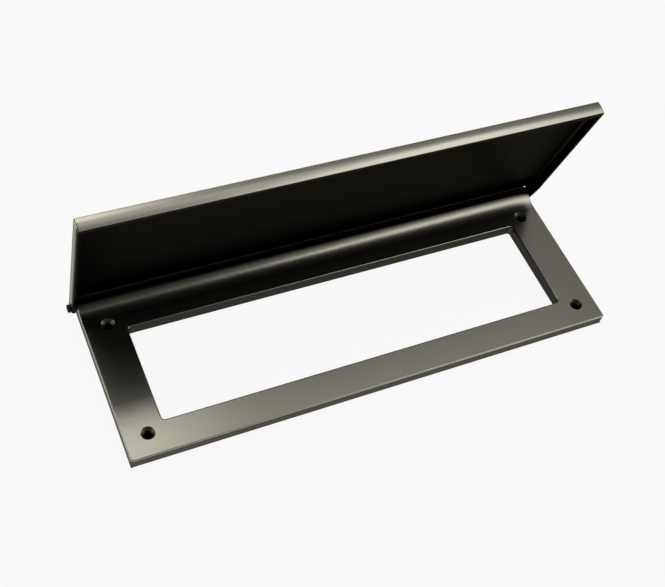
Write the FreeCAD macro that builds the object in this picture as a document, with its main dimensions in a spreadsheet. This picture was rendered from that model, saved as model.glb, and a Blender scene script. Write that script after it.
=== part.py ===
import FreeCAD, Part
import os
from enum import IntEnum
from math import sqrt

import Sketcher

# Letterbox draught excluder: a cast frame screwed to the inside of a door round the letter slot, and a
# cast flap that hangs on two pivot pins and closes over the frame like a lid.
# Frame: X along the slot, +Y towards the hinge, +Z away from the door. The origin is the middle of the
# four screw holes, on the face that lies against the door.

doc = FreeCAD.newDocument("draught_excluder")

# Driving sizes in millimetres, angles in degrees
SIZES = (
    ("frame_length", "280", "frame, end to end"),
    ("front_reach", "45.5", "screw pattern's middle to the frame's front edge"),
    ("frame_thick", "6.5", "ring of the frame, door face to room face"),
    ("corner_round", "1.5", "front corners of the frame in plan"),
    ("edge_round", "0.6", "outer edges of the frame"),
    ("stile_width", "21.5", "frame's end to the letter opening"),
    ("opening_width", "57", "letter opening across the slot"),
    ("opening_round", "2", "corners of the letter opening in plan"),
    ("opening_edge_round", "0.7", "room-side edge of the letter opening"),
    ("hole_inset", "12.5", "frame's end to the screw holes"),
    ("hole_rise", "66.5", "screw holes, spacing across the slot"),
    ("screw_bore", "4", "screw holes, bore"),
    ("sink_width", "7.4", "screw holes, mouth of the countersink"),
    ("sink_angle", "90", "screw holes, cone of the countersink"),
    ("pivot_reach", "49.4", "screw pattern's middle to the hinge axis"),
    ("pivot_height", "5.5", "door face to the hinge axis"),
    ("barrel_radius", "4.75", "barrel round the hinge axis"),
    ("cove_radius", "15", "hollow curve from the ring's face up to the barrel"),
    ("pin_width", "3", "pivot pin, shank"),
    ("pin_grip", "12", "pivot pin, length held in the barrel"),
    ("pin_play", "0.05", "pivot pin, radial play in the flap's cheek"),
    ("head_width", "4.4", "pivot pin, head across"),
    ("head_thick", "1.4", "pivot pin, head along the axis"),
    ("head_round", "0.5", "pivot pin, edge of the head"),
    ("head_gap", "0.3", "pivot pin's head to the flap's cheek"),
    ("side_gap", "0.6", "frame's end to the flap's cheek"),
    ("front_gap", "0.6", "frame's front edge to the flap's lip when closed"),
    ("seat_gap", "0.5", "frame's face to the flap's plate when closed"),
    ("plate_thick", "2.2", "flap's plate"),
    ("lip_thick", "2.2", "flap's lip and cheeks"),
    ("lip_depth", "5.8", "flap's lip and cheeks, below the plate"),
    ("edge_crown", "0.6", "flap's free edge, rise of its crown"),
    ("cheek_end_radius", "3.4", "round end of a cheek at the pivot"),
    ("cheek_taper", "13", "length of cheek that tapers towards the pivot"),
    ("inner_round", "1.6", "inside corners of the flap"),
    ("rim_round", "0.4", "inner edge of the flap's rim"),
    ("nose_land", "0.6", "flat on the plate's edge beside the barrel"),
    ("flap_edge_round", "1", "outer edges of the flap"),
    ("open_angle", "78", "flap's swing from closed, as it stands"),
)

sheet = doc.addObject("Spreadsheet::Sheet", "dims")
for row, (alias, number, meaning) in enumerate(SIZES, start=1):
    sheet.set("A%d" % row, meaning)
    sheet.set("B%d" % row, number)
    sheet.setAlias("B%d" % row, alias)
doc.recompute()


def size(alias):
    """A driving size as a plain number."""
    return float(sheet.get(alias))


# The letter opening's length, and how far the screw holes lie from the middle
OPENING_LENGTH = "(dims.frame_length - 2 * dims.stile_width)"
HOLE_REACH = "(dims.frame_length / 2 - dims.hole_inset)"

# Where the hollow curve's centre lies from the hinge axis: it touches the ring's face and the barrel
COVE_RISE = "(dims.frame_thick + dims.cove_radius - dims.pivot_height)"
COVE_BACK = "sqrt((dims.barrel_radius + dims.cove_radius)^2 - %s^2)" % COVE_RISE
cove_rise = size("frame_thick") + size("cove_radius") - size("pivot_height")
cove_back = sqrt((size("barrel_radius") + size("cove_radius")) ** 2 - cove_rise ** 2)

# The flap's levels above the hinge axis, and its reaches from it, in the closed position
PLATE_LEVEL = "(dims.frame_thick + dims.seat_gap - dims.pivot_height)"
LIP_REACH = "(dims.pivot_reach + dims.front_reach + dims.front_gap)"
EDGE_DEPTH = "(dims.plate_thick + dims.lip_depth)"
CROWN_RADIUS = "((%s^2 / 4 + dims.edge_crown^2) / (2 * dims.edge_crown))" % EDGE_DEPTH
PIN_REACH = "(dims.side_gap + dims.lip_thick + dims.head_gap)"
plate_level = size("frame_thick") + size("seat_gap") - size("pivot_height")
outer_level = plate_level + size("plate_thick")
rim_level = plate_level - size("lip_depth")
lip_reach = size("pivot_reach") + size("front_reach") + size("front_gap")
free_reach = lip_reach + size("lip_thick")
cheek_inside = size("frame_length") / 2 + size("side_gap")
flap_end = cheek_inside + size("lip_thick")


class Spot(IntEnum):
    """The points of a curve in a sketch."""

    START = 1
    END = 2
    CENTRE = 3


class Datum(IntEnum):
    """The sketch's own origin and upright axis."""

    ORIGIN = -1
    UPRIGHT_AXIS = -2


START, END, CENTRE = Spot
ORIGIN, UPRIGHT_AXIS = Datum


def vec(across, up, out=0.0):
    """A point, in a sketch or in space."""
    return FreeCAD.Vector(across, up, out)


def plane(body, role):
    """One of a body's own origin planes."""
    return next(f for f in body.Origin.OriginFeatures if f.Role == role)


def new_sketch(body, name, role, offset=None):
    """An empty sketch on an origin plane of the body, raised along the plane's normal by an expression."""
    sketch = body.newObject("Sketcher::SketchObject", name)
    sketch.AttachmentSupport = [(plane(body, role), "")]
    sketch.MapMode = "FlatFace"
    if offset:
        sketch.setExpression("AttachmentOffset.Base.z", offset)
    return sketch


def line(sketch, start, end):
    """Adds a straight edge and gives its number."""
    return sketch.addGeometry(Part.LineSegment(vec(*start), vec(*end)), False)


def arc(sketch, centre, start, end):
    """Adds an anticlockwise arc round the centre between two points and gives its number."""
    circle = Part.Circle(vec(*centre), vec(0, 0, 1), vec(*start).distanceToPoint(vec(*centre)))
    turn = Part.ArcOfCircle(circle, circle.parameter(vec(*start)), circle.parameter(vec(*end)))
    return sketch.addGeometry(turn, False)


def tie(sketch, kind, *references):
    """Adds a constraint that has no size."""
    sketch.addConstraint(Sketcher.Constraint(kind, *references))


def measure(sketch, kind, references, expression):
    """Adds a constraint whose size starts as drawn and follows an expression of the driving sizes."""
    if kind == "Radius":
        drawn = sketch.Geometry[references[0]].Radius
    else:
        step = sketch.getPoint(*references[2:]) - sketch.getPoint(*references[:2])
        drawn = step.x if kind == "DistanceX" else step.y
    number = sketch.addConstraint(Sketcher.Constraint(kind, *references, drawn))
    sketch.setExpression("Constraints[%d]" % number, expression)


def feature(body, kind, name, sketch=None):
    """Adds a feature to the body, made from the sketch where it needs one."""
    made = body.newObject("PartDesign::" + kind, name)
    if sketch:
        made.Profile = sketch
    return made


def round_edges(body, name, chosen, radius):
    """Rounds every edge of the body's shape so far that the test chooses."""
    doc.recompute()
    base = body.Tip
    names = ["Edge%d" % i for i, edge in enumerate(base.Shape.Edges, start=1) if chosen(edge)]
    fillet = body.newObject("PartDesign::Fillet", name)
    fillet.Base = (base, names)
    fillet.setExpression("Radius", radius)
    doc.recompute()
    return fillet


def spans(edge, axis, low, high, slack=0.01):
    """Whether the edge lies between two values of one coordinate."""
    low_end = getattr(edge.BoundBox, axis + "Min")
    high_end = getattr(edge.BoundBox, axis + "Max")
    return low_end > low - slack and high_end < high + slack


def lies_at(edge, axis, value):
    """Whether the whole edge lies at one value of a coordinate."""
    return spans(edge, axis, value, value)


def chain(sketch, edges):
    """Joins, in each pair of edges, the first one's end to the second one's start."""
    for edge, following in edges:
        tie(sketch, "Coincident", edge, END, following, START)


# Frame: ring with the hinge barrel along one side

def make_frame():
    """One casting: the section is drawn across the slot and run along it, then opened and drilled."""
    body = doc.addObject("PartDesign::Body", "frame")
    front, top = -size("front_reach"), size("frame_thick")
    axis_at, axis_up = size("pivot_reach"), size("pivot_height")
    rear = axis_at + size("barrel_radius")
    share = size("barrel_radius") / (size("barrel_radius") + size("cove_radius"))
    touch = (axis_at - cove_back * share, axis_up + cove_rise * share)
    cove_foot = (axis_at - cove_back, top)

    section = new_sketch(body, "frame_section", "YZ_Plane")
    base = line(section, (front, 0), (rear, 0))
    back = line(section, (rear, 0), (rear, axis_up))
    barrel = arc(section, (axis_at, axis_up), (rear, axis_up), touch)
    cove = arc(section, (axis_at - cove_back, axis_up + cove_rise), cove_foot, touch)
    face = line(section, cove_foot, (front, top))
    edge = line(section, (front, top), (front, 0))
    chain(section, ((base, back), (face, edge), (edge, base)))
    tie(section, "Tangent", back, END, barrel, START)
    tie(section, "Tangent", barrel, END, cove, END)
    tie(section, "Tangent", cove, START, face, START)
    for level in (base, face):
        tie(section, "Horizontal", level)
    for upright in (back, edge):
        tie(section, "Vertical", upright)
    tie(section, "PointOnObject", base, START, ORIGIN)
    measure(section, "DistanceX", (base, START, ORIGIN, START), "dims.front_reach")
    measure(section, "DistanceY", (edge, END, edge, START), "dims.frame_thick")
    measure(section, "DistanceX", (ORIGIN, START, barrel, CENTRE), "dims.pivot_reach")
    measure(section, "DistanceY", (ORIGIN, START, barrel, CENTRE), "dims.pivot_height")
    measure(section, "Radius", (barrel,), "dims.barrel_radius")
    measure(section, "Radius", (cove,), "dims.cove_radius")
    run = feature(body, "Pad", "frame_run", section)
    run.SideType = "Symmetric"
    run.setExpression("Length", "dims.frame_length")

    # Letter opening, right through the ring
    outline = new_sketch(body, "opening_outline", "XY_Plane")
    half_long = size("frame_length") / 2 - size("stile_width")
    half_wide = size("opening_width") / 2
    turns = ((-1, -1), (1, -1), (1, 1), (-1, 1))
    corners = [(along * half_long, across * half_wide) for along, across in turns]
    sides = [line(outline, corners[i], corners[(i + 1) % 4]) for i in range(4)]
    chain(outline, zip(sides, sides[1:] + sides[:1]))
    for level in (sides[0], sides[2]):
        tie(outline, "Horizontal", level)
    for upright in (sides[1], sides[3]):
        tie(outline, "Vertical", upright)
    tie(outline, "Symmetric", sides[0], START, sides[1], END, ORIGIN, START)
    measure(outline, "DistanceX", (sides[0], START, sides[0], END), OPENING_LENGTH)
    measure(outline, "DistanceY", (sides[1], START, sides[1], END), "dims.opening_width")
    opening = feature(body, "Pocket", "letter_opening", outline)
    opening.Type = "ThroughAll"
    opening.Reversed = True

    # Countersunk screw holes in the four corners
    centres = new_sketch(body, "screw_centres", "XY_Plane", "dims.frame_thick")
    hole_reach = size("frame_length") / 2 - size("hole_inset")
    for along in (-1, 1):
        for across in (-1, 1):
            place = vec(along * hole_reach, across * size("hole_rise") / 2)
            hole = centres.addGeometry(Part.Circle(place, vec(0, 0, 1), size("screw_bore") / 2), False)
            measure(centres, "Radius", (hole,), "dims.screw_bore / 2")
            outward, inward = (ORIGIN, START, hole, CENTRE), (hole, CENTRE, ORIGIN, START)
            measure(centres, "DistanceX", outward if along > 0 else inward, HOLE_REACH)
            measure(centres, "DistanceY", outward if across > 0 else inward, "dims.hole_rise / 2")
    doc.recompute()
    holes = feature(body, "Hole", "screw_holes", centres)
    holes.DepthType = "ThroughAll"
    holes.HoleCutType = "Countersink"
    holes.setExpression("Diameter", "dims.screw_bore")
    holes.setExpression("HoleCutDiameter", "dims.sink_width")
    holes.setExpression("HoleCutCountersinkAngle", "dims.sink_angle")

    # Blind bores in the barrel's ends, in which the pivot pins are pressed
    circle = new_sketch(body, "pin_circle", "YZ_Plane", "dims.frame_length / 2")
    ring = circle.addGeometry(Part.Circle(vec(axis_at, axis_up), vec(0, 0, 1), size("pin_width") / 2), False)
    measure(circle, "Radius", (ring,), "dims.pin_width / 2")
    measure(circle, "DistanceX", (ORIGIN, START, ring, CENTRE), "dims.pivot_reach")
    measure(circle, "DistanceY", (ORIGIN, START, ring, CENTRE), "dims.pivot_height")
    bore = feature(body, "Pocket", "pin_bore", circle)
    bore.setExpression("Length", "dims.pin_grip")
    doc.recompute()
    bores = feature(body, "Mirrored", "pin_bores")
    bores.Originals = [bore]
    bores.MirrorPlane = (plane(body, "YZ_Plane"), [""])
    body.Tip = bores

    # Rounded corners and edges
    end = size("frame_length") / 2
    seam = front + size("corner_round")

    def front_corner(edge):
        """Whether the edge stands at a front corner of the frame."""
        return lies_at(edge, "Y", front) and (lies_at(edge, "X", end) or lies_at(edge, "X", -end))

    def opening_corner(edge):
        """Whether the edge stands at a corner of the letter opening."""
        return any(lies_at(edge, "X", x) and lies_at(edge, "Y", y) for x, y in corners)

    def on_outer_edge(edge):
        """Whether the edge bounds the frame's face or its ends, away from the door."""
        if lies_at(edge, "Z", top):
            return spans(edge, "Y", front, seam) or lies_at(edge, "X", end) or lies_at(edge, "X", -end)
        if not (lies_at(edge, "X", end) or lies_at(edge, "X", -end)):
            return False
        return not (edge.isClosed() or lies_at(edge, "Z", 0) or lies_at(edge, "Y", seam))

    def on_opening_edge(edge):
        """Whether the edge bounds the letter opening on the room side."""
        return (lies_at(edge, "Z", top) and spans(edge, "X", -half_long, half_long)
                and spans(edge, "Y", -half_wide, half_wide))

    round_edges(body, "front_corners", front_corner, "dims.corner_round")
    round_edges(body, "opening_corners", opening_corner, "dims.opening_round")
    round_edges(body, "outer_edges", on_outer_edge, "dims.edge_round")
    round_edges(body, "opening_edges", on_opening_edge, "dims.opening_edge_round")
    return body


# Flap: plate with a lip along its free edge and a cheek down each end

def crowned_edge(sketch):
    """Draws the flap's free edge from its outside to its rim, an arc that stands out by its crown."""
    crown = size("edge_crown")
    radius = ((outer_level - rim_level) ** 2 / 4 + crown ** 2) / (2 * crown)
    centre = (radius - crown - free_reach, (outer_level + rim_level) / 2)
    edge = arc(sketch, centre, (-free_reach, outer_level), (-free_reach, rim_level))
    tie(sketch, "Vertical", edge, START, edge, END)
    measure(sketch, "Radius", (edge,), CROWN_RADIUS)
    return edge


def make_flap():
    """One casting, drawn closed with the hinge axis as its own X axis, then swung open on that axis."""
    body = doc.addObject("PartDesign::Body", "flap")
    nose_radius = size("cove_radius") - size("seat_gap")
    land_level = outer_level - size("nose_land")
    nose_tip = sqrt(nose_radius ** 2 - (cove_rise - land_level) ** 2) - cove_back

    # Plate and lip. The plate's hinge edge is a nose that nests in the frame's hollow curve when closed.
    section = new_sketch(body, "flap_section", "YZ_Plane")
    outer = line(section, (nose_tip, outer_level), (-free_reach, outer_level))
    free = crowned_edge(section)
    rim = line(section, (-free_reach, rim_level), (-lip_reach, rim_level))
    lip = line(section, (-lip_reach, rim_level), (-lip_reach, plate_level))
    under = line(section, (-lip_reach, plate_level), (-cove_back, plate_level))
    nose = arc(section, (-cove_back, cove_rise), (-cove_back, plate_level), (nose_tip, land_level))
    land = line(section, (nose_tip, land_level), (nose_tip, outer_level))
    chain(section, ((outer, free), (free, rim), (rim, lip), (lip, under), (nose, land), (land, outer)))
    tie(section, "Tangent", under, END, nose, START)
    for level in (outer, rim, under):
        tie(section, "Horizontal", level)
    for upright in (lip, land):
        tie(section, "Vertical", upright)
    measure(section, "DistanceX", (lip, START, ORIGIN, START), LIP_REACH)
    measure(section, "DistanceX", (rim, START, rim, END), "dims.lip_thick")
    measure(section, "DistanceY", (ORIGIN, START, lip, END), PLATE_LEVEL)
    measure(section, "DistanceY", (lip, START, lip, END), "dims.lip_depth")
    measure(section, "DistanceY", (lip, END, outer, END), "dims.plate_thick")
    measure(section, "Radius", (nose,), "dims.cove_radius - dims.seat_gap")
    measure(section, "DistanceX", (nose, CENTRE, ORIGIN, START), COVE_BACK)
    measure(section, "DistanceY", (land, START, land, END), "dims.nose_land")
    run = feature(body, "Pad", "flap_run", section)
    run.SideType = "Symmetric"
    run.setExpression("Length", "dims.frame_length + 2 * (dims.side_gap + dims.lip_thick)")

    # Cheek with a tapered, rounded end round the pivot, and its twin at the other end
    end_radius = size("cheek_end_radius")
    end_centre = (0, outer_level - end_radius)
    far = vec(-size("cheek_taper"), rim_level - end_centre[1])
    sweep = sqrt(far.Length ** 2 - end_radius ** 2)
    touch = (far * end_radius + vec(-far.y, far.x) * sweep) * (end_radius / far.Length ** 2)
    tangent_point = (touch.x, touch.y + end_centre[1])
    profile = new_sketch(body, "cheek_profile", "YZ_Plane", "dims.frame_length / 2 + dims.side_gap")
    top = line(profile, (0, outer_level), (-free_reach, outer_level))
    tip = crowned_edge(profile)
    foot = line(profile, (-free_reach, rim_level), (-size("cheek_taper"), rim_level))
    taper = line(profile, (-size("cheek_taper"), rim_level), tangent_point)
    heel = arc(profile, end_centre, tangent_point, (0, outer_level))
    chain(profile, ((top, tip), (tip, foot), (foot, taper)))
    tie(profile, "Tangent", taper, END, heel, START)
    tie(profile, "Tangent", heel, END, top, START)
    for level in (top, foot):
        tie(profile, "Horizontal", level)
    tie(profile, "PointOnObject", heel, CENTRE, UPRIGHT_AXIS)
    measure(profile, "Radius", (heel,), "dims.cheek_end_radius")
    measure(profile, "DistanceX", (tip, START, ORIGIN, START), LIP_REACH + " + dims.lip_thick")
    measure(profile, "DistanceY", (ORIGIN, START, top, START), PLATE_LEVEL + " + dims.plate_thick")
    measure(profile, "DistanceY", (tip, END, tip, START), EDGE_DEPTH)
    measure(profile, "DistanceX", (taper, START, ORIGIN, START), "dims.cheek_taper")
    cheek = feature(body, "Pad", "cheek", profile)
    cheek.setExpression("Length", "dims.lip_thick")
    doc.recompute()
    cheeks = feature(body, "Mirrored", "cheeks")
    cheeks.Originals = [cheek]
    cheeks.MirrorPlane = (plane(body, "YZ_Plane"), [""])
    body.Tip = cheeks

    # Pivot holes through both cheeks
    circle = new_sketch(body, "pivot_circle", "YZ_Plane")
    ring = circle.addGeometry(Part.Circle(vec(0, 0), vec(0, 0, 1), size("pin_width") / 2), False)
    tie(circle, "Coincident", ring, CENTRE, ORIGIN, START)
    measure(circle, "Radius", (ring,), "dims.pin_width / 2 + dims.pin_play")
    holes = feature(body, "Pocket", "pivot_holes", circle)
    holes.SideType = "Symmetric"
    holes.Type = "ThroughAll"

    # Rounded corners and edges
    def at_end(edge, value):
        """Whether the edge lies at this distance from the flap's middle, at either end."""
        return lies_at(edge, "X", value) or lies_at(edge, "X", -value)

    def inside_corner(edge):
        """Whether the edge is a corner between the plate, the lip and the cheeks."""
        if at_end(edge, cheek_inside):
            on_nose = spans(edge, "Y", -cove_back, nose_tip) and spans(edge, "Z", plate_level, outer_level)
            return on_nose or lies_at(edge, "Z", plate_level) or lies_at(edge, "Y", -lip_reach)
        return lies_at(edge, "Y", -lip_reach) and lies_at(edge, "Z", plate_level)

    def outer_edge(edge):
        """Whether the edge bounds the flap's outside."""
        if at_end(edge, flap_end):
            return not edge.isClosed()
        at_level = lies_at(edge, "Z", outer_level) or lies_at(edge, "Z", rim_level)
        return at_level and lies_at(edge, "Y", -free_reach)

    def rim_edge(edge):
        """Whether the edge bounds the rim on its inner side."""
        within = spans(edge, "X", -cheek_inside, cheek_inside) and spans(edge, "Y", -lip_reach, 0)
        return within and lies_at(edge, "Z", rim_level)

    round_edges(body, "inside_corners", inside_corner, "dims.inner_round")
    round_edges(body, "outer_edges", outer_edge, "dims.flap_edge_round")
    round_edges(body, "rim_edges", rim_edge, "dims.rim_round")

    body.Placement = FreeCAD.Placement(vec(0, 0, 0), FreeCAD.Rotation(vec(-1, 0, 0), size("open_angle")))
    body.setExpression("Placement.Base.y", "dims.pivot_reach")
    body.setExpression("Placement.Base.z", "dims.pivot_height")
    body.setExpression("Placement.Rotation.Angle", "dims.open_angle")
    return body


# Pivot pins, headed, one at each end

def make_pin(name, side):
    """Turned pin: its own X axis points out of the frame's end, with the end face at zero."""
    body = doc.addObject("PartDesign::Body", name)
    grip, shank, head = size("pin_grip"), size("pin_width") / 2, size("head_width") / 2
    reach = size("side_gap") + size("lip_thick") + size("head_gap")
    end = reach + size("head_thick")
    half = new_sketch(body, name + "_half", "XY_Plane")
    points = ((-grip, 0), (end, 0), (end, head), (reach, head), (reach, shank), (-grip, shank))
    edges = [line(half, points[i], points[(i + 1) % 6]) for i in range(6)]
    chain(half, zip(edges, edges[1:] + edges[:1]))
    for level in edges[0::2]:
        tie(half, "Horizontal", level)
    for upright in edges[1::2]:
        tie(half, "Vertical", upright)
    tie(half, "PointOnObject", edges[0], START, ORIGIN)
    measure(half, "DistanceX", (edges[0], START, ORIGIN, START), "dims.pin_grip")
    measure(half, "DistanceX", (ORIGIN, START, edges[3], START), PIN_REACH)
    measure(half, "DistanceX", (edges[2], END, edges[2], START), "dims.head_thick")
    measure(half, "DistanceY", (edges[1], START, edges[1], END), "dims.head_width / 2")
    measure(half, "DistanceY", (edges[5], END, edges[5], START), "dims.pin_width / 2")
    turned = feature(body, "Revolution", name + "_turned", half)
    turned.ReferenceAxis = (half, ["H_Axis"])
    turned.Angle = 360
    round_edges(body, name + "_head", lambda e: lies_at(e, "X", end), "dims.head_round")
    turn = 0 if side > 0 else 180
    body.Placement = FreeCAD.Placement(vec(0, 0, 0), FreeCAD.Rotation(vec(0, 0, 1), turn))
    body.setExpression("Placement.Base.x", "%d * dims.frame_length / 2" % side)
    body.setExpression("Placement.Base.y", "dims.pivot_reach")
    body.setExpression("Placement.Base.z", "dims.pivot_height")
    return body


parts = [make_frame(), make_flap(), make_pin("pivot_pin_left", -1), make_pin("pivot_pin_right", 1)]
doc.recompute()

# Nothing is written unless every object is sound
for made in doc.Objects:
    if "Invalid" in made.State or "Error" in made.State:
        raise RuntimeError("%s could not be built: %s" % (made.Label, made.State))
for part in parts:
    if part.Shape.isNull() or not part.Shape.isValid():
        raise RuntimeError("%s has no sound shape" % part.Label)

os.makedirs("parts", exist_ok=True)
for part in parts:
    part.Shape.exportStep("parts/%s.step" % part.Label)
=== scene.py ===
import bpy
import numpy as np
from mathutils import Matrix, Vector

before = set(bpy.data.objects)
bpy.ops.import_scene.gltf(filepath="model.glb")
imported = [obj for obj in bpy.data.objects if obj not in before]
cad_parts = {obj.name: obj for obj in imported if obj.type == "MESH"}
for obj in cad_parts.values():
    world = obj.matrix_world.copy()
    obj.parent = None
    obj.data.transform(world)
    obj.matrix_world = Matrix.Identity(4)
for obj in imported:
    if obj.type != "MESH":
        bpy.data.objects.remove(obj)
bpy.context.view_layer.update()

MM = 0.001
# Hinge line and the flap's swing from closed, as in the part's source
PIVOT = (0.0, 49.4 * MM, 5.5 * MM)
OPEN_ANGLE = np.radians(78.0)
# A screw hole's place from the middle, and its countersink's mouth
SCREW_HOLE = (127.5 * MM, 33.25 * MM, 0.0)
SINK_RADIUS = 3.7 * MM
# Half the letter opening, and how far the rounding of its edge reaches out
OPENING = (118.5 * MM, 28.5 * MM)
OPENING_ROUND = 0.7 * MM

# Where the frame's grey turns to painted shade: at a countersink's rim, and on the barrel in front of the hinge line
SINK_RIM = (SINK_RADIUS - 0.25 * MM, SINK_RADIUS + 0.05 * MM)
BARREL_SHADE = (PIVOT[1] - 5.4 * MM, PIVOT[1] - 1.6 * MM)
# Where the closed flap's black gives way to grey, from the hinge line: along X, Y and Z, on the end faces, and round
# the pivots, where the black is painted shade
CHEEK_OUTSIDE = (141.5 * MM, 142.3 * MM)
LIP_OUTSIDE = (-96.4 * MM, -97.2 * MM)
PLATE_OUTSIDE = (2.2 * MM, 2.9 * MM)
END_RIM = (-2.1 * MM, -1.1 * MM)
PIVOT_SHADE = (3.8 * MM, 5.5 * MM)
# Painted shade: the flap's black is deepest near the hinge
HINGE_SHADE = (14 * MM, 26 * MM)

# How bright the plate's edge is when it is seen at a glancing angle, so that dark metal stays dark there
GLANCING = "#afafad"


def linear(colour):
    """Turns an sRGB hex colour into linear red, green, blue and alpha."""
    srgb = np.array([int(colour[i:i + 2], 16) for i in (1, 3, 5)]) / 255
    rgb = np.where(srgb <= 0.04045, srgb / 12.92, ((srgb + 0.055) / 1.055) ** 2.4)
    return (*rgb.tolist(), 1.0)


def add(tree, kind, inputs=None, **settings):
    """Adds a node with its settings. Inputs go by socket name or number, and are values or nodes' outputs."""
    made = tree.nodes.new("ShaderNode" + kind)
    for name, value in settings.items():
        setattr(made, name, value)
    for socket, value in (inputs or {}).items():
        if isinstance(value, bpy.types.NodeSocket):
            tree.links.new(value, made.inputs[socket])
        else:
            made.inputs[socket].default_value = value
    return made


def new_material(name):
    """A material and its node tree, still empty."""
    material = bpy.data.materials.new(name)
    material.use_nodes = True
    material.node_tree.nodes.clear()
    return material, material.node_tree


def new_metal(name):
    """A bare metal: its material, its node tree and its surface shader."""
    material, tree = new_material(name)
    surface = add(tree, "BsdfPrincipled", {"Metallic": 1.0, "Specular Tint": linear(GLANCING)})
    add(tree, "OutputMaterial", {"Surface": surface.outputs[0]})
    return material, tree, surface


def join(tree, surface, colour, roughness, bump):
    """Joins the three parts of a finish to the surface shader."""
    tree.links.new(colour.outputs[2], surface.inputs["Base Color"])
    tree.links.new(roughness.outputs[0], surface.inputs["Roughness"])
    tree.links.new(bump.outputs[0], surface.inputs["Normal"])


def per_mm(size):
    """Noise scale, in features per metre, for features of this size in millimetres."""
    return 1 / (size * MM)


def product(tree, *factors):
    """Multiplies values together."""
    total = factors[0]
    for factor in factors[1:]:
        total = add(tree, "Math", {0: total, 1: factor}, operation="MULTIPLY").outputs[0]
    return total


def within(tree, place, middle, half):
    """1 over the rectangle of this middle and these half sizes, seen along Z, and 0 round it."""
    off = add(tree, "VectorMath", {0: place, 1: (*middle, 0)}, operation="SUBTRACT")
    reach = add(tree, "VectorMath", {0: off.outputs[0]}, operation="ABSOLUTE")
    sides = add(tree, "SeparateXYZ", {0: reach.outputs[0]})
    in_x = add(tree, "Math", {0: sides.outputs["X"], 1: half[0]}, operation="LESS_THAN")
    in_y = add(tree, "Math", {0: sides.outputs["Y"], 1: half[1]}, operation="LESS_THAN")
    return product(tree, in_x.outputs[0], in_y.outputs[0])


def from_screw_hole(tree, place):
    """Distance from the nearest screw hole's axis, by the corners' symmetry."""
    corner = add(tree, "VectorMath", {0: place}, operation="ABSOLUTE")
    flat = add(tree, "VectorMath", {0: corner.outputs[0], 1: (1, 1, 0)}, operation="MULTIPLY")
    reach = add(tree, "VectorMath", {0: flat.outputs[0], 1: SCREW_HOLE}, operation="DISTANCE")
    return reach.outputs["Value"]


def from_hinge(tree, place):
    """Distance from the hinge line."""
    across = add(tree, "VectorMath", {0: place, 1: (0, 1, 1)}, operation="MULTIPLY")
    reach = add(tree, "VectorMath", {0: across.outputs[0], 1: PIVOT}, operation="DISTANCE")
    return reach.outputs["Value"]


# Metals

def satin_plate(tree, surface, place, bright, dark):
    """Satin nickel plate on cast brass, grey where bright is 1 and the dark colour where it is 0.

    The faces were brushed along the slot before plating. That leaves streaks about 0.4 mm apart and 30 mm
    long, too faint to see one by one, which blur what the metal mirrors. The plate's tone drifts a little over
    about 25 mm, and the hollows, which the brush never reached, keep the grain of the casting.
    """
    streaks_at = add(tree, "Mapping", {"Vector": place, "Scale": (per_mm(30), per_mm(0.4), per_mm(0.4))})
    streaks = add(tree, "TexNoise", {"Vector": streaks_at.outputs[0], "Scale": 1.0, "Detail": 2.0,
                                     "Roughness": 0.5})
    drift = add(tree, "TexNoise", {"Vector": place, "Scale": per_mm(25), "Detail": 3.0, "Roughness": 0.5})
    grain = add(tree, "TexNoise", {"Vector": place, "Scale": per_mm(0.6), "Detail": 3.0, "Roughness": 0.6})

    grey = add(tree, "Mix", {0: drift.outputs[0], 6: linear("#b1ae9f"), 7: linear("#bdb9ab")},
               data_type="RGBA")
    # The dark colour carries painted shade: on the frame's walls, countersinks and barrel top, and on the flap's
    # nose, pivots and hinge side
    colour = add(tree, "Mix", {0: bright, 6: dark, 7: grey.outputs[2]}, data_type="RGBA")
    brushed = add(tree, "MapRange", {0: streaks.outputs[0], 1: 0.3, 2: 0.7, 3: 0.235, 4: 0.265})
    grained = add(tree, "MapRange", {0: grain.outputs[0], 1: 0.3, 2: 0.7, 3: 0.34, 4: 0.42})
    roughness = add(tree, "Mix", {0: bright, 2: grained.outputs[0], 3: brushed.outputs[0]}, data_type="FLOAT")
    height = add(tree, "Mix", {0: bright, 2: grain.outputs[0], 3: streaks.outputs[0]}, data_type="FLOAT")
    bump = add(tree, "Bump", {"Strength": 0.03, "Distance": 0.02 * MM, "Height": height.outputs[0]})
    join(tree, surface, colour, roughness, bump)


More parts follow.
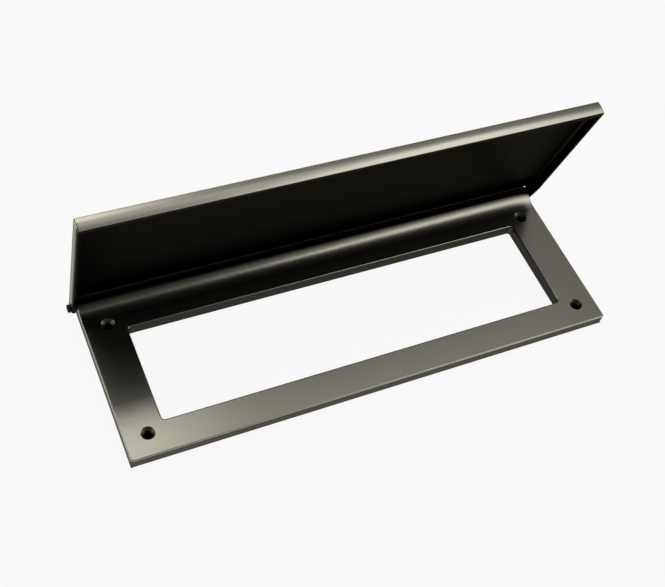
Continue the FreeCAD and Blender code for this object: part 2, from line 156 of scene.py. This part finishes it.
def frame_finish():
    """The frame is grey on the faces turned to the room, and darker on its walls.

    The walls' darkness is painted shade. It makes the walls of the letter opening darker still, with their edges,
    the countersinks dark like the outer walls, and the top of the barrel, where the flap turns, near black.
    """
    material, tree, surface = new_metal("satin_plated_brass_frame")
    where = add(tree, "TexCoord")
    place = where.outputs["Object"]
    at = add(tree, "SeparateXYZ", {0: place})
    facing = add(tree, "SeparateXYZ", {0: where.outputs["Normal"]})

    # Painted shade: faces that turn away from the room darken, more so in the letter opening, and so do the
    # countersinks and the barrel's top
    in_opening = within(tree, place, (0, 0), [half + OPENING_ROUND for half in OPENING])
    turn_from = add(tree, "Mix", {0: in_opening, 2: 0.02, 3: 0.5}, data_type="FLOAT")
    turn_to = add(tree, "Mix", {0: in_opening, 2: 0.2, 3: 0.95}, data_type="FLOAT")
    to_room = add(tree, "MapRange", {0: facing.outputs["Z"], 1: turn_from.outputs[0], 2: turn_to.outputs[0]},
                  interpolation_type="SMOOTHSTEP")
    off_sink = add(tree, "MapRange", {0: from_screw_hole(tree, place), 1: SINK_RIM[0], 2: SINK_RIM[1]})
    past_curve = add(tree, "MapRange", {0: at.outputs["Y"], 1: BARREL_SHADE[0], 2: BARREL_SHADE[1]},
                     interpolation_type="SMOOTHSTEP")
    barrel_top = product(tree, past_curve.outputs[0], to_room.outputs[0])
    off_barrel = add(tree, "Math", {0: 1.0, 1: barrel_top}, operation="SUBTRACT")
    off_both = product(tree, off_sink.outputs[0], off_barrel.outputs[0])

    # Colours of the painted shade on the outer walls and countersinks, on the opening's walls and on the barrel's
    # top
    outer_wall_shade, opening_wall_shade, barrel_top_shade = linear("#5c5a53"), linear("#3c3a36"), linear("#100f0f")
    wall = add(tree, "Mix", {0: in_opening, 6: outer_wall_shade, 7: opening_wall_shade}, data_type="RGBA")
    sink_and_barrel_shade = add(tree, "Mix", {0: off_sink.outputs[0], 6: outer_wall_shade, 7: barrel_top_shade}, data_type="RGBA")
    dark = add(tree, "Mix", {0: off_both, 6: sink_and_barrel_shade.outputs[2], 7: wall.outputs[2]}, data_type="RGBA")
    satin_plate(tree, surface, place, product(tree, to_room.outputs[0], off_both), dark.outputs[2])
    return material


def flap_finish():
    """The flap is grey outside and on its edges, and black inside the lips, on the rim, nose and pivots.

    On the nose and round the pivots the black is painted shade, and painted shade deepens it near the hinge.
    Place and facing are taken in the flap's closed position, with the hinge line as the origin.
    """
    material, tree, surface = new_metal("satin_plated_brass_flap")
    where = add(tree, "TexCoord")
    closed = add(tree, "Mapping", {"Vector": where.outputs["Object"], "Location": PIVOT,
                                   "Rotation": (-OPEN_ANGLE, 0, 0)}, vector_type="TEXTURE")
    turned = add(tree, "Mapping", {"Vector": where.outputs["Normal"], "Rotation": (OPEN_ANGLE, 0, 0)},
                 vector_type="VECTOR")
    at = add(tree, "SeparateXYZ", {0: closed.outputs[0]})
    facing = add(tree, "SeparateXYZ", {0: turned.outputs[0]})
    from_middle = add(tree, "Math", {0: at.outputs["X"]}, operation="ABSOLUTE")
    sideways = add(tree, "Math", {0: facing.outputs["X"]}, operation="ABSOLUTE")
    hinge_at = from_hinge(tree, where.outputs["Object"])

    past_cheek = add(tree, "MapRange", {0: from_middle.outputs[0], 1: CHEEK_OUTSIDE[0], 2: CHEEK_OUTSIDE[1]})
    past_lip = add(tree, "MapRange", {0: at.outputs["Y"], 1: LIP_OUTSIDE[0], 2: LIP_OUTSIDE[1]})
    past_plate = add(tree, "MapRange", {0: at.outputs["Z"], 1: PLATE_OUTSIDE[0], 2: PLATE_OUTSIDE[1]})
    past_edges = add(tree, "Math", {0: past_cheek.outputs[0], 1: past_lip.outputs[0]}, operation="MAXIMUM")
    outside = add(tree, "Math", {0: past_edges.outputs[0], 1: past_plate.outputs[0]}, operation="MAXIMUM")
    off_rim = add(tree, "MapRange", {0: facing.outputs["Z"], 1: -0.55, 2: -0.2},
                  interpolation_type="SMOOTHSTEP")
    # Painted shade: the nose is black
    off_nose = add(tree, "MapRange", {0: facing.outputs["Y"], 1: 0.5, 2: 0.2}, interpolation_type="SMOOTHSTEP")
    on_end = add(tree, "MapRange", {0: sideways.outputs[0], 1: 0.4, 2: 0.8})
    past_rim = add(tree, "MapRange", {0: at.outputs["Z"], 1: END_RIM[0], 2: END_RIM[1]})
    off_end_rim = add(tree, "Mix", {0: on_end.outputs[0], 2: 1.0, 3: past_rim.outputs[0]}, data_type="FLOAT")
    # Painted shade: round the pivots the flap is black
    off_pivot = add(tree, "MapRange", {0: hinge_at, 1: PIVOT_SHADE[0], 2: PIVOT_SHADE[1]})
    bright = product(tree, outside.outputs[0], off_rim.outputs[0], off_nose.outputs[0], off_pivot.outputs[0],
                     off_end_rim.outputs[0])

    # Painted shade: the black deepens near the hinge
    off_hinge = add(tree, "MapRange", {0: hinge_at, 1: HINGE_SHADE[0], 2: HINGE_SHADE[1]},
                    interpolation_type="SMOOTHSTEP")
    dark = add(tree, "Mix", {0: off_hinge.outputs[0], 6: linear("#040404"), 7: linear("#242321")},
               data_type="RGBA")
    satin_plate(tree, surface, closed.outputs[0], bright, dark.outputs[2])
    return material


def pin_finish():
    """Turned steel, blackened: fine rings round the axis from the tool, and a few worn, brighter patches."""
    material, tree, surface = new_metal("blackened_turned_steel_pin")
    place = add(tree, "TexCoord").outputs["Object"]
    wear = add(tree, "TexNoise", {"Vector": place, "Scale": per_mm(1.5), "Detail": 3.0})
    rings = add(tree, "TexWave", {"Vector": place, "Scale": per_mm(0.6)}, wave_type="RINGS",
                rings_direction="X")
    colour = add(tree, "Mix", {0: wear.outputs[0], 6: linear("#1c1b19"), 7: linear("#34322e")},
                 data_type="RGBA")
    roughness = add(tree, "MapRange", {0: wear.outputs[0], 1: 0.3, 2: 0.7, 3: 0.3, 4: 0.42})
    bump = add(tree, "Bump", {"Strength": 0.06, "Distance": 0.02 * MM, "Height": rings.outputs["Fac"]})
    join(tree, surface, colour, roughness, bump)
    return material


def dress(node, material):
    """Puts the material on a CAD node."""
    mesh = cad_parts[node].data
    mesh.materials.clear()
    mesh.materials.append(material)


dress("frame", frame_finish())
dress("flap", flap_finish())
pin_metal = pin_finish()
dress("pivot_pin_left", pin_metal)
dress("pivot_pin_right", pin_metal)


# Stage

def painted_board(even_share):
    """White painted board, flat and even.

    What looks straight at it, or sees it mirrored, gets this share of an even white, and the rest is the board
    as it is lit, with the object's shadow. Under the metal, where no light comes, it is black.
    """
    material, tree = new_material("white_painted_board")
    path = add(tree, "LightPath")
    seen = add(tree, "Math", {0: path.outputs["Is Camera Ray"], 1: path.outputs["Is Glossy Ray"]},
               operation="MAXIMUM")
    seen = add(tree, "Math", {0: seen.outputs[0], 1: path.outputs["Is Transmission Ray"]}, operation="MAXIMUM")

    place = add(tree, "TexCoord").outputs["Object"]
    footprint = np.array(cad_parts["frame"].bound_box)[:, :2]
    low_corner, high_corner = footprint.min(0), footprint.max(0)
    under = within(tree, place, (high_corner + low_corner) / 2, (high_corner - low_corner) / 2)
    beside = add(tree, "Math", {0: 1.0, 1: under}, operation="SUBTRACT")
    in_opening = within(tree, place, (0, 0), OPENING)
    clear = add(tree, "Math", {0: beside.outputs[0], 1: in_opening}, operation="MAXIMUM")

    paint = add(tree, "Mix", {0: clear.outputs[0], 6: linear("#000000"), 7: linear("#fafaf9")},
                data_type="RGBA")
    board = add(tree, "BsdfDiffuse", {"Color": paint.outputs[2]})
    even = add(tree, "Emission", {"Color": linear("#ffffff"), "Strength": 1.0})
    share = product(tree, seen.outputs[0], clear.outputs[0], even_share)
    both = add(tree, "MixShader", {0: share, 1: board.outputs[0], 2: even.outputs[0]})
    add(tree, "OutputMaterial", {"Surface": both.outputs[0]})
    return material


def white_floor():
    """A plain square floor just under the frame's back, with low walls far off that hide the horizon."""
    half, level, wall_top = 8.0, -0.2 * MM, 3.0
    around = ((-half, -half), (half, -half), (half, half), (-half, half))
    corners = [(x, y, z) for z in (level, wall_top) for x, y in around]
    floor_face, walls = (0, 1, 2, 3), [(0, 1, 5, 4), (1, 2, 6, 5), (2, 3, 7, 6), (3, 0, 4, 7)]
    mesh = bpy.data.meshes.new("floor")
    mesh.from_pydata(corners, [], [floor_face, *walls])
    mesh.materials.append(painted_board(even_share=0.92))
    floor = bpy.data.objects.new("floor", mesh)
    bpy.context.scene.collection.objects.link(floor)


def soft_box(name, place, width, height, radiance, target=None, turn=0.0):
    """A flat soft light of this brightness, hung level and turned by some degrees, or aimed at its target."""
    lamp = bpy.data.lights.new(name, "AREA")
    lamp.shape = "RECTANGLE"
    lamp.size, lamp.size_y = width, height
    lamp.energy = np.pi * width * height * radiance
    made = bpy.data.objects.new(name, lamp)
    made.location = place
    made.rotation_euler = (0, 0, np.radians(turn))
    if target:
        made.rotation_euler = (Vector(target) - Vector(place)).to_track_quat("-Z", "Y").to_euler()
    bpy.context.scene.collection.objects.link(made)


white_floor()
# Boxes overhead shape the light along the metal. They hang at different heights, so that none hides another
soft_box("overhead_box", (0.47, 0.39, 1.4), 1.5, 1.5, 0.22)
soft_box("edge_strip", (0.3, 0.27, 1.35), 0.9, 0.45, 0.44)
soft_box("right_strip", (1.25, 0.7, 1.45), 0.6, 1.0, 0.066)
soft_box("rear_box", (-0.26, 1.16, 1.3), 0.88, 1.3, 1.65)
soft_box("front_box", (0.99, -0.46, 1.3), 1.45, 0.7, 1.38, turn=-49)
# Panels round the sides fill the rest
middle = (0, 0, 0.03)
soft_box("left_panel", (-1.6, 0.2, 0.7), 1.4, 1.0, 0.66, middle)
soft_box("right_panel", (1.7, -0.4, 0.5), 1.2, 0.7, 1.1, middle)
soft_box("back_panel", (0.0, 1.8, 0.45), 2.0, 0.8, 0.66, middle)

world = bpy.data.worlds.new("studio")
bpy.context.scene.world = world
world.use_nodes = True
room = world.node_tree.nodes["Background"]
room.inputs["Color"].default_value = linear("#ffffff")
room.inputs["Strength"].default_value = 0.033


def photo_camera():
    """The camera where the photograph was taken from: its place, the image's right and up, and its lens."""
    place = (-0.21248, -0.26293, 0.48594)
    right = Vector((0.90455, -0.39507, 0.16032))
    up = Vector((0.24443, 0.78861, 0.56423))
    focal_pixels, image_width, sensor = 1069.9, 665, 36.0
    lens = bpy.data.cameras.new("photo_camera")
    lens.sensor_width = sensor
    lens.lens = sensor * focal_pixels / image_width
    made = bpy.data.objects.new("photo_camera", lens)
    turn = Matrix((right, up, right.cross(up))).transposed().to_4x4()
    made.matrix_world = Matrix.Translation(place) @ turn
    bpy.context.scene.collection.objects.link(made)
    bpy.context.scene.camera = made


photo_camera()
bpy.context.scene.view_settings.view_transform = "Standard"
